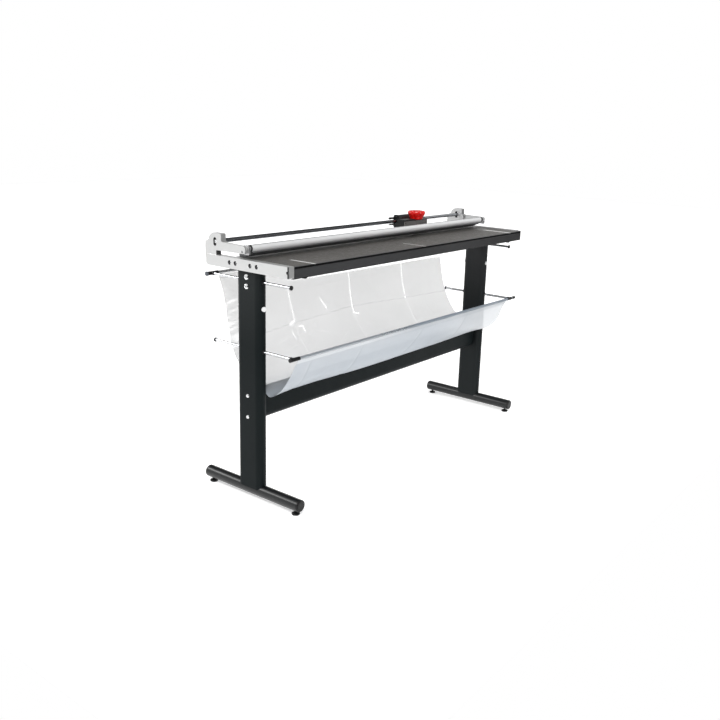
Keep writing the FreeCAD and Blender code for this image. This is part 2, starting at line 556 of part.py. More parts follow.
# ------------------------------------------------------------------ cutting carriage
house = prism_x([(112.0, 910.0, 2), (112.0, 943.0, 0), (121.0, 943.0, 2), (138.5, 960.5, 3), (154.0, 960.5, 3),
                 (154.0, 910.0, 3)], BODY_X0, BODY_X1)
house = house.cut(cyl_x(9.5, BODY_X0 - 1, BODY_X1 + 1, RAIL_Y, RAIL_Z))
bush_l = 30.0
house = house.cut(cyl_x(11.5, BODY_X0 - 1, BODY_X0 + bush_l, RAIL_Y, RAIL_Z))
house = house.cut(cyl_x(11.5, BODY_X1 - bush_l, BODY_X1 + 1, RAIL_Y, RAIL_Z))
PLATE_SCREWS = ((132.0, 914.0), (148.0, 914.0), (138.5, 955.5))
end_plates, car_screws, car_bushes = [], [], []
for x, s in ((BODY_X0, -1.0), (BODY_X1, 1.0)):
    pl = prism_x(rect(126.5, 155.0, 906.0, 963.0, 8.5), x, x + s * 4.0)
    pl = pl.cut(cyl_x(8.6, x - s, x + s * 5, RAIL_Y, RAIL_Z))
    for y, z in PLATE_SCREWS:
        pl = pl.cut(cyl_x(1.6, x - s, x + s * 5, y, z))
        house = house.cut(cyl_x(1.5, x - s * 10.0, x + s, y, z))
        car_screws.append(socket_screw(V(x + s * 4.0, y, z), V(-s, 0, 0), 2.8, 2.2, 1.5, 13.5))
    end_plates.append(pl)
    car_bushes.append(cyl_x(11.5, x, x - s * bush_l, RAIL_Y, RAIL_Z).cut(cyl_x(RAIL_R + 0.05, x + s, x - s * (bush_l + 1), RAIL_Y, RAIL_Z)))

# black stop pin and plain steel stud on the left end
PIN2_Y = 147.5
STOP_Z, STUD_Z = 949.0, 921.0
for z in (STOP_Z, STUD_Z):
    end_plates[0] = end_plates[0].cut(cyl_x(2.5, BODY_X0 - 6, BODY_X0 + 1, PIN2_Y, z))
    house = house.cut(cyl_x(2.5, BODY_X0 - 1, BODY_X0 + 10, PIN2_Y, z))
node("stop_pin", turned([(0, 0), (3.8, 0), (4.8, 1.0), (4.8, 42.5), (2.5, 42.5), (2.5, 52.5), (0, 52.5)],
                        V(BODY_X0 - 46.5, PIN2_Y, STOP_Z), V(1, 0, 0)))
stop_stud = turned([(0, 0), (3.4, 0), (4.0, 0.6), (4.0, 43.8), (2.5, 43.8), (2.5, 53.8), (0, 53.8)],
                   V(BODY_X0 - 47.8, PIN2_Y, STUD_Z), V(1, 0, 0))
node("carriage_body", house.removeSplitter())
node("carriage_end_plates", group(end_plates))
node("carriage_bushes", group(car_bushes))

block = prism_x([(72.0, 905.0, 2), (72.0, 943.0, 2.5), (112.0, 943.0, 0), (112.0, 905.0, 2)], BLOCK_X0, BLOCK_X1)
block = block.fuse(prism_x([(72.0, 935.0, 0), (72.0, 948.0, 2.5), (112.0, 948.0, 2.0), (112.0, 935.0, 0)], BLOCK_X0, 316.0))
pocket = cyl_y(30.0, 70.0, 80.0, WHEEL_X, WHEEL_Z).fuse(box(WHEEL_X - 30, WHEEL_X + 30, 70.0, 80.0, 900.0, WHEEL_Z))
block = block.cut(pocket)
block = block.cut(cyl_y(11.0, 78.0, 87.0, WHEEL_X, WHEEL_Z)).cut(cyl_y(9.0, 86.0, 101.0, WHEEL_X, WHEEL_Z))
block = block.cut(cyl_y(11.0, 100.0, 113.0, WHEEL_X, WHEEL_Z))
block = block.cut(cyl_z(4.0, 925.0, 945.0, KNOB_X, KNOB_Y))
guards = []
for a, b in ((BLOCK_X0, GUARD_SPLIT - 0.75), (GUARD_SPLIT + 0.75, BLOCK_X1)):
    g = prism_y(rect(a, b, 903.5, 940.5, 1.5), 69.5, 72.0)
    x = a + 7.0 if a == BLOCK_X0 else b - 7.0
    for z in (911.5, 933.5):
        g = g.cut(cyl_y(1.6, 69.0, 73.0, x, z))
        block = block.cut(cyl_y(1.5, 71.0, 79.0, x, z))
        car_screws.append(socket_screw(V(x, 69.5, z), V(0, 1, 0), 2.8, 1.6, 1.5, 8.0))
    guards.append(g)
node("carriage_front_block", block.removeSplitter())
node("blade_guards", group(guards))
node("carriage_screws", group(car_screws))

wheel = turned([(4.0, 0.0), (WHEEL_R - 0.2, 0.0), (WHEEL_R, 0.15), (WHEEL_R - 1.2, 1.55), (9.0, 1.55), (9.0, 5.4), (4.0, 5.4)],
               V(WHEEL_X, CUT_Y + 0.05, WHEEL_Z), V(0, 1, 0))
node("blade_wheel", wheel)
node("blade_shaft", turned([(0, 0), (6.5, 0), (7.0, 0.5), (7.0, 1.65), (4.0, 1.65), (4.0, 35.0), (3.5, 35.6), (0, 35.6)],
                           V(WHEEL_X, CUT_Y - 1.6, WHEEL_Z), V(0, 1, 0)))
node("blade_bearings", group([cyl_y(11.0, y, y + 7.0, WHEEL_X, WHEEL_Z).cut(cyl_y(4.04, y - 1, y + 8, WHEEL_X, WHEEL_Z))
                              for y in (80.0, 100.0)]))
discs = []
for i in range(4):
    lo, hi = (0.0, 3.25) if i % 2 == 0 else (3.25, 0.0)
    k = 1.0 if i % 2 == 0 else -1.0
    discs.append(turned([(4.3, lo), (5.0, lo), (8.6, hi - k * 0.9), (8.6, hi), (7.9, hi), (4.3, lo + k * 0.9)],
                        V(WHEEL_X, 87.0 + 3.25 * i, WHEEL_Z), V(0, 1, 0)))
node("blade_spring", group(discs))

node("carriage_studs", group([
    turned([(0, 0), (3.4, 0), (4.0, 0.6), (4.0, 32.0), (3.2, 33.0), (0, 33.0)], V(KNOB_X, KNOB_Y, 926.0), V(0, 0, 1)),
    stop_stud]))
knob = turned([(0, 0), (26.0, 0), (27.5, 1.5), (28.6, 4.0), (30.5, 9.0), (33.5, 15.0), (37.0, 21.0), (39.0, 25.5),
               (39.0, 31.0), (37.5, 34.4), (34.0, 36.8), (28.5, 38.2), (14.0, 38.7), (0, 38.7)],
              V(KNOB_X, KNOB_Y, KNOB_Z), V(0, 0, 1))
for i in range(8):
    a = math.radians(45.0 * i + 11.0)
    knob = knob.cut(cyl_z(9.0, KNOB_Z + 8.0, KNOB_Z + 45.0, KNOB_X + 43.0 * math.cos(a), KNOB_Y + 43.0 * math.sin(a)))
knob = knob.cut(cyl_z(4.05, KNOB_Z - 1, KNOB_Z + 17.0, KNOB_X, KNOB_Y))
node("knob", knob)

# ------------------------------------------------------------------ write
for name in sorted(NODES):
    shape = NODES[name]
    if not shape.isValid():
        print("invalid shape", name)
    shape.exportStep(os.path.join("parts", name + ".step"))
    bb = shape.BoundBox
    print("%-28s %2d solids  x %8.1f %8.1f  y %8.1f %8.1f  z %7.1f %7.1f" % (
        name, len(shape.Solids), bb.XMin, bb.XMax, bb.YMin, bb.YMax, bb.ZMin, bb.ZMax))
print(len(NODES), "nodes")
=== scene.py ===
import math

import bmesh
import bpy
import numpy as np
from mathutils import Matrix, Vector

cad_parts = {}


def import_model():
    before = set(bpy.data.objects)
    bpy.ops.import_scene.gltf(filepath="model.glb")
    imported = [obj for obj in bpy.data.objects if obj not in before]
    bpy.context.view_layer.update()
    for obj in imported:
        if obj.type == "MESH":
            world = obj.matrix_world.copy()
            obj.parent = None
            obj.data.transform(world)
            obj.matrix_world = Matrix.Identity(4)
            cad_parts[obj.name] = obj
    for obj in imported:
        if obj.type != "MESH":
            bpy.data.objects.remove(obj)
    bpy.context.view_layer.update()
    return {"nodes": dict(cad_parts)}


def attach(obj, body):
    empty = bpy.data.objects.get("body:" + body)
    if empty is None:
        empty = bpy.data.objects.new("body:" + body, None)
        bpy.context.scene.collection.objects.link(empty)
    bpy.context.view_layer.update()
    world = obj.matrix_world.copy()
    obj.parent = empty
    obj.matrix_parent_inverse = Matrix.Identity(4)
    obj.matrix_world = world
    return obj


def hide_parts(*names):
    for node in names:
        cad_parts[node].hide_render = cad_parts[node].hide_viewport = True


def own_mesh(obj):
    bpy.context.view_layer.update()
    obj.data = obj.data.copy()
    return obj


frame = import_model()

NODES = frame["nodes"]
MM = 0.001


# ------------------------------------------------------------------ node helpers
class Look:
    """One procedural material. Coordinates are the object's own, in metres."""

    def __init__(self, name, stretch=(1.0, 1.0, 1.0)):
        self.mat = bpy.data.materials.new(name)
        self.mat.use_nodes = True
        self.nt = self.mat.node_tree
        self.bsdf = self.nt.nodes["Principled BSDF"]
        tc = self.nt.nodes.new("ShaderNodeTexCoord")
        self.co = tc.outputs["Object"]
        if stretch != (1.0, 1.0, 1.0):
            mp = self.nt.nodes.new("ShaderNodeMapping")
            mp.inputs["Scale"].default_value = stretch
            self.link(self.co, mp.inputs["Vector"])
            self.co_s = mp.outputs["Vector"]
        else:
            self.co_s = self.co

    def link(self, a, b):
        self.nt.links.new(a, b)

    def new(self, kind):
        return self.nt.nodes.new(kind)

    def noise(self, scale, detail=2.0, rough=0.5, distort=0.0, stretched=False):
        n = self.new("ShaderNodeTexNoise")
        n.inputs["Scale"].default_value = scale
        n.inputs["Detail"].default_value = detail
        n.inputs["Roughness"].default_value = rough
        n.inputs["Distortion"].default_value = distort
        self.link(self.co_s if stretched else self.co, n.inputs["Vector"])
        return n.outputs[0]

    def voronoi(self, scale, feature="F1", stretched=False):
        n = self.new("ShaderNodeTexVoronoi")
        n.feature = feature
        n.inputs["Scale"].default_value = scale
        self.link(self.co_s if stretched else self.co, n.inputs["Vector"])
        return n.outputs["Distance"]

    def remap(self, value, f0, f1, t0, t1):
        n = self.new("ShaderNodeMapRange")
        for key, v in (("From Min", f0), ("From Max", f1), ("To Min", t0), ("To Max", t1)):
            n.inputs[key].default_value = v
        self.link(value, n.inputs["Value"])
        return n.outputs["Result"]

    def math(self, op, a, b=None, c=None, clamp=False):
        n = self.new("ShaderNodeMath")
        n.operation = op
        n.use_clamp = clamp
        for i, v in enumerate((a, b, c)):
            if v is None:
                continue
            if isinstance(v, (int, float)):
                n.inputs[i].default_value = v
            else:
                self.link(v, n.inputs[i])
        return n.outputs[0]

    def ramp(self, value, *stops):
        n = self.new("ShaderNodeValToRGB")
        r = n.color_ramp
        while len(r.elements) < len(stops):
            r.elements.new(0.5)
        for e, (pos, col) in zip(r.elements, stops):
            e.position = pos
            e.color = (*col, 1.0)
        self.link(value, n.inputs["Fac"])
        return n.outputs["Color"]

    def blend(self, fac, a, b, mode="MIX"):
        """Colour a to colour b by fac; each is a socket or three numbers."""
        n = self.new("ShaderNodeMix")
        n.data_type = "RGBA"
        n.blend_type = mode
        if isinstance(fac, (int, float)):
            n.inputs[0].default_value = fac
        else:
            self.link(fac, n.inputs[0])
        for i, v in ((6, a), (7, b)):
            if isinstance(v, tuple):
                n.inputs[i].default_value = (*v, 1.0)
            else:
                self.link(v, n.inputs[i])
        return n.outputs[2]

    def axis(self, i):
        n = self.new("ShaderNodeSeparateXYZ")
        self.link(self.co, n.inputs[0])
        return n.outputs[i]

    def between(self, i, low, high, mirrored=False):
        """1 where coordinate i lies between two values; mirrored takes its absolute value."""
        v = self.axis(i)
        if mirrored:
            v = self.math("ABSOLUTE", v)
        return self.math("MULTIPLY", self.math("GREATER_THAN", v, low), self.math("LESS_THAN", v, high))

    def attr(self, name):
        n = self.new("ShaderNodeAttribute")
        n.attribute_name = name
        return n.outputs["Fac"]

    def bump(self, height, strength, distance, below=None):
        n = self.new("ShaderNodeBump")
        n.inputs["Strength"].default_value = strength
        n.inputs["Distance"].default_value = distance
        self.link(height, n.inputs["Height"])
        if below is not None:
            self.link(below, n.inputs["Normal"])
        return n.outputs["Normal"]

    def put(self, **kw):
        for key, v in kw.items():
            s = self.bsdf.inputs[key.replace("_", " ")]
            if isinstance(v, tuple):
                s.default_value = (*v, 1.0)
            elif isinstance(v, (int, float)):
                s.default_value = v
            else:
                self.link(v, s)
        return self


def plain(name, low, high, rough=(0.4, 0.5), grain=600.0, bump=0.1, depth=0.0003, metal=0.0,
          cloud=5.0, speck=None, stretch=(1.0, 1.0, 1.0), spec=0.5):
    """Base finish: cloudy colour, fine grain in the bump, roughness that wanders."""
    k = Look(name, stretch)
    streaky = stretch != (1.0, 1.0, 1.0)
    broad = k.noise(cloud, 3.0)
    fine = k.noise(grain, 2.0, stretched=streaky)
    col = k.ramp(broad, (0.3, low), (0.7, high))
    if speck:
        col = k.blend(k.remap(k.noise(speck[0], 1.0), speck[1], speck[1] + 0.08, 0.0, speck[2]), col, speck[3])
    k.put(Base_Color=col,
          Roughness=k.remap(k.noise(cloud * 9, 4.0, stretched=streaky), 0.25, 0.75, *rough),
          Metallic=metal, Normal=k.bump(fine, bump, depth), Specular_IOR_Level=spec)
    return k


def paint_shade(k, mask, amount, dark=(0.012, 0.012, 0.0125)):
    """Painted shade: fade a finished look to a dull dark where the mask is 1."""
    fac = k.math("MULTIPLY", mask, amount)
    metal = k.bsdf.inputs["Metallic"].default_value
    spec = k.bsdf.inputs["Specular IOR Level"].default_value
    k.put(Base_Color=k.blend(fac, k.bsdf.inputs["Base Color"].links[0].from_socket, dark),
          Metallic=k.remap(fac, 0.0, 1.0, metal, 0.0), Specular_IOR_Level=k.remap(fac, 0.0, 1.0, spec, 0.08))


def side_plate(name, low, high, front):
    """Grey paint of a side plate with painted shade in its screw holes, rail slot and notch end, along its front corner
    and, softer, on the front faces of head and arm tip.
    """
    k = plain(name, low, high, rough=(0.28, 0.36), grain=520.0, bump=0.16, depth=0.0004, metal=0.80, cloud=7.0,
              speck=(900.0, 0.70, 0.25, (0.42, 0.42, 0.41)))
    every = None

    def add(part):
        nonlocal every
        every = part if every is None else k.math("MAXIMUM", every, part)

    y, z = k.axis(1), k.axis(2)
    # painted shade inside the screw and plug holes, below the outer face
    for cy, cz, r, face in ((0.0635, 0.871, 0.0082, 0.7943), (0.0345, 0.871, 0.0082, 0.7943), (-0.0375, 0.871, 0.0082, 0.7943),
                            (-0.0685, 0.871, 0.0082, 0.7943), (-0.2105, 0.869, 0.0053, 0.7943), (0.0024, 0.9135, 0.0049, 0.7909)):
        dy, dz = k.math("SUBTRACT", y, cy), k.math("SUBTRACT", z, cz)
        near = k.math("LESS_THAN", k.math("ADD", k.math("MULTIPLY", dy, dy), k.math("MULTIPLY", dz, dz)), r * r)
        add(k.math("MULTIPLY", near, k.between(0, 0.7700, face - 0.0003, True)))
    # painted shade inside the rail slot
    add(k.math("MULTIPLY", k.math("MULTIPLY", k.between(1, 0.1313, 0.1487), k.between(2, 0.9188, 0.9512)),
               k.between(0, 0.7693, 0.7906, True)))
    # painted shade on the end wall of the notch
    add(k.math("MULTIPLY", k.between(1, 0.1290, 0.1337), k.between(2, 0.8892, 0.9050)))
    # painted shade along the front corner
    add(k.math("MULTIPLY", k.between(1, -0.30, front), k.between(0, 0.7909, 0.7940, True)))
    # softer painted shade on the front faces of the head and the arm tip
    soft = k.math("MULTIPLY", k.between(1, 0.0985, 0.1110), k.between(2, 0.9380, 0.9700))
    soft = k.math("MAXIMUM", soft, k.math("MULTIPLY", k.between(1, -0.0115, -0.0060), k.between(2, 0.9000, 0.9400)))
    soft = k.math("MULTIPLY", soft, k.between(0, 0.7500, 0.7903, True))
    paint_shade(k, k.math("MAXIMUM", every, k.math("MULTIPLY", soft, 0.62)), 0.93)
    return k


# ------------------------------------------------------------------ finishes
def make_looks():
    L = {}
    # satin black powder coat: fine orange peel, faint dust specks
    k = Look("black_powder_coat")
    broad, fine = k.noise(2.2, 4.0), k.noise(820.0, 2.0)
    col = k.ramp(broad, (0.3, (0.0036, 0.0056, 0.0060)), (0.75, (0.0056, 0.0082, 0.0088)))
    col = k.blend(k.remap(k.noise(1400.0, 0.0), 0.70, 0.78, 0.0, 0.30), col, (0.030, 0.034, 0.036))
    # specular level rises with height on the upper parts: painted sheen
    k.put(Base_Color=col, Roughness=k.remap(k.noise(14.0, 5.0), 0.25, 0.75, 0.40, 0.50),
          Normal=k.bump(fine, 0.22, 0.0004), Specular_IOR_Level=k.remap(k.axis(2), 0.58, 0.82, 0.072, 0.19))
    L["black_powder_coat"] = k
    # the right column: the coat painted lighter towards its top and darker low down, painted light and shade
    k = Look("coat_right_painted_light")
    base = k.ramp(k.remap(k.axis(2), 0.40, 0.82, 0.0, 1.0), (0.0, (0.0050, 0.0070, 0.0075)), (0.35, (0.0105, 0.0125, 0.0132)),
                  (1.0, (0.030, 0.031, 0.0325)))
    k.put(Base_Color=k.blend(k.remap(k.noise(2.2, 4.0), 0.3, 0.75, 0.0, 0.25), base, (0.008, 0.0095, 0.010)),
          Roughness=k.remap(k.noise(14.0, 5.0), 0.25, 0.75, 0.40, 0.50),
          Normal=k.bump(k.noise(820.0, 2.0), 0.22, 0.0004), Specular_IOR_Level=0.13)
    L["coat_right_painted_light"] = k

    k = plain("light_grey_paint", (0.62, 0.623, 0.62), (0.68, 0.683, 0.677), rough=(0.28, 0.36),
              grain=520.0, bump=0.16, depth=0.0004, metal=0.80, cloud=7.0, speck=(900.0, 0.70, 0.25, (0.42, 0.42, 0.41)))
    L["light_grey_paint"] = k
    L["plate_left"] = side_plate("plate_left", (0.62, 0.623, 0.62), (0.68, 0.683, 0.677), -0.2090)
    # the far plate: a darker copy of the same grey paint, painted shade
    L["plate_right"] = side_plate("plate_right", (0.42, 0.422, 0.422), (0.48, 0.482, 0.48), -0.1865)

    # front profile: painted shade in the groove under its top edge and along the bottom lip; it also darkens towards
    # the right end
    k = plain("profile_anodised", (0.019, 0.0195, 0.0205), (0.027, 0.0276, 0.029), rough=(0.33, 0.46), grain=260.0,
              bump=0.20, depth=0.0002, cloud=3.0, stretch=(0.02, 9.0, 9.0), spec=0.55)
    groove_and_lip_shade = k.math("MULTIPLY", k.between(2, 0.8788, 0.8852), k.between(1, -0.2155, -0.2080))
    groove_and_lip_shade = k.math("MAXIMUM", groove_and_lip_shade, k.between(2, 0.8440, 0.8482))
    paint_shade(k, k.math("MAXIMUM", groove_and_lip_shade, k.remap(k.axis(0), 0.10, 0.72, 0.0, 0.48)), 0.9, (0.0020, 0.0020, 0.0022))
    L["profile_anodised"] = k

    # extruded, black anodised: die lines run along X
    L["black_anodised"] = plain("black_anodised", (0.019, 0.0195, 0.0205), (0.027, 0.0276, 0.029),
                                rough=(0.33, 0.46), grain=260.0, bump=0.20, depth=0.0002, cloud=3.0,
                                stretch=(0.02, 9.0, 9.0), spec=0.55)

    # the foot tubes carry a glossier coat than the columns
    L["foot_coat"] = plain("foot_coat", (0.0040, 0.0046, 0.0050), (0.0062, 0.0070, 0.0074), rough=(0.28, 0.36),
                           grain=820.0, bump=0.12, depth=0.0003, cloud=6.0, spec=0.36)
    L["rod_chrome"] = plain("rod_chrome", (0.46, 0.47, 0.49), (0.53, 0.54, 0.56), rough=(0.07, 0.13),
                            grain=200.0, bump=0.04, depth=0.0001, metal=1.0, cloud=12.0)
    L["cast_aluminium"] = plain("cast_aluminium", (0.55, 0.553, 0.56), (0.62, 0.623, 0.63), rough=(0.28, 0.38),
                                grain=500.0, bump=0.14, depth=0.0003, metal=0.9, cloud=20.0)

    # laminate table top: fine pebbled grain, warm grey specks
    k = Look("dark_grey_laminate")
    peb, cloud = k.voronoi(950.0), k.noise(2.6, 5.0)
    col = k.ramp(cloud, (0.25, (0.064, 0.061, 0.057)), (0.75, (0.086, 0.082, 0.076)))
    col = k.blend(k.remap(k.noise(620.0, 2.0), 0.48, 0.70, 0.0, 0.75), col, (0.135, 0.127, 0.119))
    col = k.blend(k.remap(k.noise(980.0, 1.0), 0.62, 0.74, 0.0, 0.7), col, (0.017, 0.016, 0.016))
    k.put(Base_Color=col, Roughness=k.remap(k.noise(60.0, 4.0), 0.3, 0.7, 0.42, 0.56),
          Normal=k.bump(peb, 0.35, 0.0004), Specular_IOR_Level=0.45)
    L["dark_grey_laminate"] = k

    # white scale strip with fine division marks across it, every 1, 5 and 10 mm
    k = Look("white_scale")
    y = k.axis(1)
    cols = k.ramp(k.noise(14.0, 4.0), (0.3, (0.56, 0.56, 0.55)), (0.7, (0.63, 0.63, 0.62)))
    x = k.axis(0)
    # distance from the strip's left edge, repeated for each strip
    marks = None
    for step, width, reach in ((0.001, 0.00016, 0.0022), (0.005, 0.00022, 0.0038), (0.010, 0.00028, 0.0056)):
        near = k.math("PINGPONG", y, step / 2)
        line = k.math("LESS_THAN", near, width / 2)
        offs = None
        for xe in (-0.66825, -0.012, 0.666):
            part = k.math("LESS_THAN", k.math("ABSOLUTE", k.math("SUBTRACT", x, xe + reach / 2)), reach / 2)
            offs = part if offs is None else k.math("MAXIMUM", offs, part)
        both = k.math("MULTIPLY", line, offs)
        marks = both if marks is None else k.math("MAXIMUM", marks, both)
    k.put(Base_Color=k.blend(marks, cols, (0.06, 0.06, 0.065)),
          Roughness=k.remap(k.noise(90.0, 3.0), 0.3, 0.7, 0.36, 0.48), Normal=k.bump(k.noise(500.0), 0.08, 0.0002))
    L["white_scale"] = k

    # the cutter's rail: dark polished bar; its ends inside the side plates carry painted shade, nearly black
    k = plain("rail_steel", (0.27, 0.28, 0.295), (0.33, 0.34, 0.355), rough=(0.06, 0.12), grain=150.0, bump=0.05,
              depth=0.0001, metal=1.0, cloud=9.0)
    paint_shade(k, k.between(0, 0.7700, 0.8500, True), 1.0)
    L["rail_steel"] = k
    # the right arm rods: a darker copy of the rod chrome, painted shade
    L["rod_painted_shade"] = plain("rod_painted_shade", (0.17, 0.175, 0.185), (0.22, 0.225, 0.235), rough=(0.12, 0.2), grain=200.0,
                          bump=0.04, depth=0.0001, metal=1.0, cloud=12.0)
    L["strip_anodised"] = plain("strip_anodised", (0.090, 0.092, 0.095), (0.115, 0.117, 0.121), rough=(0.34, 0.46),
                                grain=260.0, bump=0.20, depth=0.0002, cloud=3.0, stretch=(0.02, 9.0, 9.0), spec=0.5)

    # polished chrome on drawn bar
    L["chromed_steel"] = plain("chromed_steel", (0.66, 0.67, 0.69), (0.74, 0.75, 0.77), rough=(0.06, 0.13),
                               grain=150.0, bump=0.05, depth=0.0001, metal=1.0, cloud=9.0, stretch=(1.0, 1.0, 1.0))
    k = L["chromed_steel"]
    # painted shade, nearly black, on the bar's ends inside the side plates
    cut = k.math("GREATER_THAN", k.math("ABSOLUTE", k.axis(0)), 0.7700)
    cut = k.math("MULTIPLY", cut, k.math("GREATER_THAN", k.axis(2), 0.9))
    k.put(Base_Color=k.blend(cut, k.bsdf.inputs["Base Color"].links[0].from_socket, (0.015, 0.015, 0.016)),
          Metallic=k.remap(cut, 0.0, 1.0, 1.0, 0.0), Specular_IOR_Level=0.2)
    L["zinc_plated_steel"] = plain("zinc_plated_steel", (0.70, 0.71, 0.72), (0.82, 0.83, 0.83), rough=(0.10, 0.20),
                                   grain=900.0, bump=0.12, depth=0.0001, metal=1.0, cloud=120.0)
    # drawn aluminium tube, faint lines along it
    L["bare_aluminium"] = plain("bare_aluminium", (0.76, 0.765, 0.77), (0.83, 0.83, 0.835), rough=(0.34, 0.42),
                                grain=240.0, bump=0.12, depth=0.0001, metal=0.45, cloud=5.0, stretch=(0.015, 8.0, 8.0))
    # a dark band painted along the top of the tube: painted reflection
    k = L["bare_aluminium"]
    top = k.math("MULTIPLY", k.remap(k.axis(1), -0.0185, -0.0155, 0.0, 1.0), k.remap(k.axis(1), -0.0060, -0.0010, 1.0, 0.0))
    top = k.math("MULTIPLY", top, k.math("GREATER_THAN", k.axis(2), 0.925))
    k.put(Base_Color=k.blend(k.math("MULTIPLY", top, 0.75), k.bsdf.inputs["Base Color"].links[0].from_socket, (0.14, 0.145, 0.15)))
    L["blade_steel"] = plain("blade_steel", (0.42, 0.43, 0.44), (0.56, 0.57, 0.58), rough=(0.16, 0.28),
                             grain=700.0, bump=0.08, depth=0.0001, metal=1.0, cloud=30.0, stretch=(0.05, 6.0, 6.0))
    L["dark_screws"] = plain("dark_screws", (0.030, 0.030, 0.032), (0.060, 0.060, 0.062), rough=(0.26, 0.40),
                             grain=900.0, bump=0.12, depth=0.0001, metal=0.7, cloud=160.0)
    L["black_plastic"] = plain("black_plastic", (0.0040, 0.0042, 0.0045), (0.0080, 0.0083, 0.0087), rough=(0.24, 0.38),
                               grain=1100.0, bump=0.18, depth=0.0002, cloud=25.0, spec=0.24)
    L["grey_plastic"] = plain("grey_plastic", (0.74, 0.745, 0.75), (0.82, 0.825, 0.83), rough=(0.34, 0.46),
                              grain=700.0, bump=0.10, depth=0.0002, cloud=40.0)
    L["guard_grey"] = plain("guard_grey", (0.074, 0.070, 0.067), (0.102, 0.097, 0.093), rough=(0.34, 0.48),
                            grain=500.0, bump=0.14, depth=0.0002, cloud=22.0, stretch=(0.1, 3.0, 3.0))
    L["bush_plastic"] = plain("bush_plastic", (0.50, 0.49, 0.45), (0.58, 0.57, 0.52), rough=(0.36, 0.5),
                              grain=600.0, bump=0.08, depth=0.0002, cloud=30.0)
    L["grip_rubber"] = plain("grip_rubber", (0.014, 0.014, 0.014), (0.024, 0.024, 0.024), rough=(0.62, 0.78),
                             grain=800.0, bump=0.25, depth=0.0003, cloud=40.0)
    k = plain("red_plastic", (0.46, 0.0040, 0.0025), (0.55, 0.0065, 0.004), rough=(0.11, 0.16),
              grain=420.0, bump=0.03, depth=0.0001, cloud=30.0, spec=0.7)
    L["red_plastic"] = k

    # end caps of the bag's rods: black, the two on the upper rear rod light grey
    k = Look("rod_cap_plastic")
    far = k.math("MULTIPLY", k.math("GREATER_THAN", k.axis(1), 0.19), k.math("GREATER_THAN", k.axis(2), 0.75))
    col = k.blend(far, k.ramp(k.noise(30.0, 3.0), (0.3, (0.012, 0.0125, 0.013)), (0.7, (0.020, 0.0205, 0.021))),
                  k.ramp(k.noise(30.0, 3.0), (0.3, (0.07, 0.078, 0.088)), (0.7, (0.10, 0.11, 0.125))))
    k.put(Base_Color=col, Roughness=k.remap(k.noise(200.0, 3.0), 0.3, 0.7, 0.34, 0.48), Normal=k.bump(k.noise(900.0), 0.14, 0.0002),
          Specular_IOR_Level=0.18)
    L["rod_cap_plastic"] = k
    return L


def film_look():
    """Clear soft film gone slightly milky: cloudier along its fold creases and weld lines. Painted shade darkens its
    bottom, its folds and the front hem; near the left edge the crease mark is painted highlight on wrinkles.
    """
    k = Look("clear_film")
    crease_and_highlight, weld, arc, hem_a, dark = (k.attr(a) for a in ("crease_and_highlight", "weld", "arc", "hem", "shade"))
    clear, band = k.attr("clear"), k.attr("band")
    fine, soft = k.noise(38.0, 4.0, 0.5, 0.4), k.noise(7.0, 3.0)
    white = k.math("MAXIMUM", crease_and_highlight, k.math("MULTIPLY", weld, 0.28))
    # tone along the bag: painted shade darkens the bottom; the front panel is bluish
    body = k.ramp(arc, (0.0, (0.49, 0.485, 0.48)), (0.35, (0.46, 0.46, 0.46)), (0.55, (0.38, 0.385, 0.39)), (0.66, (0.39, 0.425, 0.465)), (1.0, (0.40, 0.435, 0.475)))
    body = k.blend(k.remap(soft, 0.3, 0.7, 0.0, 0.10), body, (0.48, 0.49, 0.50))
    body = k.blend(k.remap(k.axis(0), 0.15, 0.70, 0.0, 0.50), body, (0.66, 0.662, 0.665))
    # painted shade along the folds and wrinkles, then along the front hem
    body = k.blend(dark, body, (0.10, 0.10, 0.105))
    body = k.blend(band, body, (0.15, 0.19, 0.235))
    # whiter along creases and welds; by the left edge this mark is painted highlight on wrinkles
    body = k.blend(white, body, (0.95, 0.95, 0.95))
    alpha = k.remap(arc, 0.55, 0.68, 0.62, 0.86)
    alpha = k.math("ADD", alpha, k.remap(soft, 0.3, 0.7, -0.02, 0.02))
    alpha = k.math("MULTIPLY", alpha, k.remap(hem_a, 0.0, 1.0, 1.0, 0.5))
    alpha = k.math("MULTIPLY", alpha, k.remap(crease_and_highlight, 0.0, 1.0, 1.0, 0.12))
    alpha = k.math("MAXIMUM", alpha, k.math("MULTIPLY", band, 0.85))
    alpha = k.math("MULTIPLY", alpha, k.remap(clear, 0.0, 1.0, 1.0, 0.06), clamp=True)
    k.put(Base_Color=body, Alpha=alpha, Roughness=k.remap(fine, 0.3, 0.7, 0.36, 0.46), Specular_IOR_Level=0.35,
          Normal=k.bump(fine, 0.05, 0.0004))
    return k


# ------------------------------------------------------------------ mesh helpers
def mesh_object(name, verts, faces, smooth=True):
    me = bpy.data.meshes.new(name)
    me.from_pydata([tuple(v) for v in verts], [], faces)
    me.update()
    if smooth:
        me.polygons.foreach_set("use_smooth", [True] * len(me.polygons))
    ob = bpy.data.objects.new(name, me)
    bpy.context.scene.collection.objects.link(ob)
    return ob


def lattice_noise(u, v, cell_u, cell_v, seed):
    """Smooth random field over (u, v), about -1 to 1, repeatable."""
    rng = np.random.default_rng(seed)
    table = rng.uniform(-1, 1, (257, 257))
    a, b = u / cell_u + 1000.37, v / cell_v + 1000.71
    ia, ib = np.floor(a).astype(int), np.floor(b).astype(int)
    fa, fb = a - ia, b - ib
    fa, fb = fa * fa * fa * (fa * (fa * 6 - 15) + 10), fb * fb * fb * (fb * (fb * 6 - 15) + 10)
    g = lambda i, j: table[i % 257, j % 257]
    return ((g(ia, ib) * (1 - fa) + g(ia + 1, ib) * fa) * (1 - fb)
            + (g(ia, ib + 1) * (1 - fa) + g(ia + 1, ib + 1) * fa) * fb)


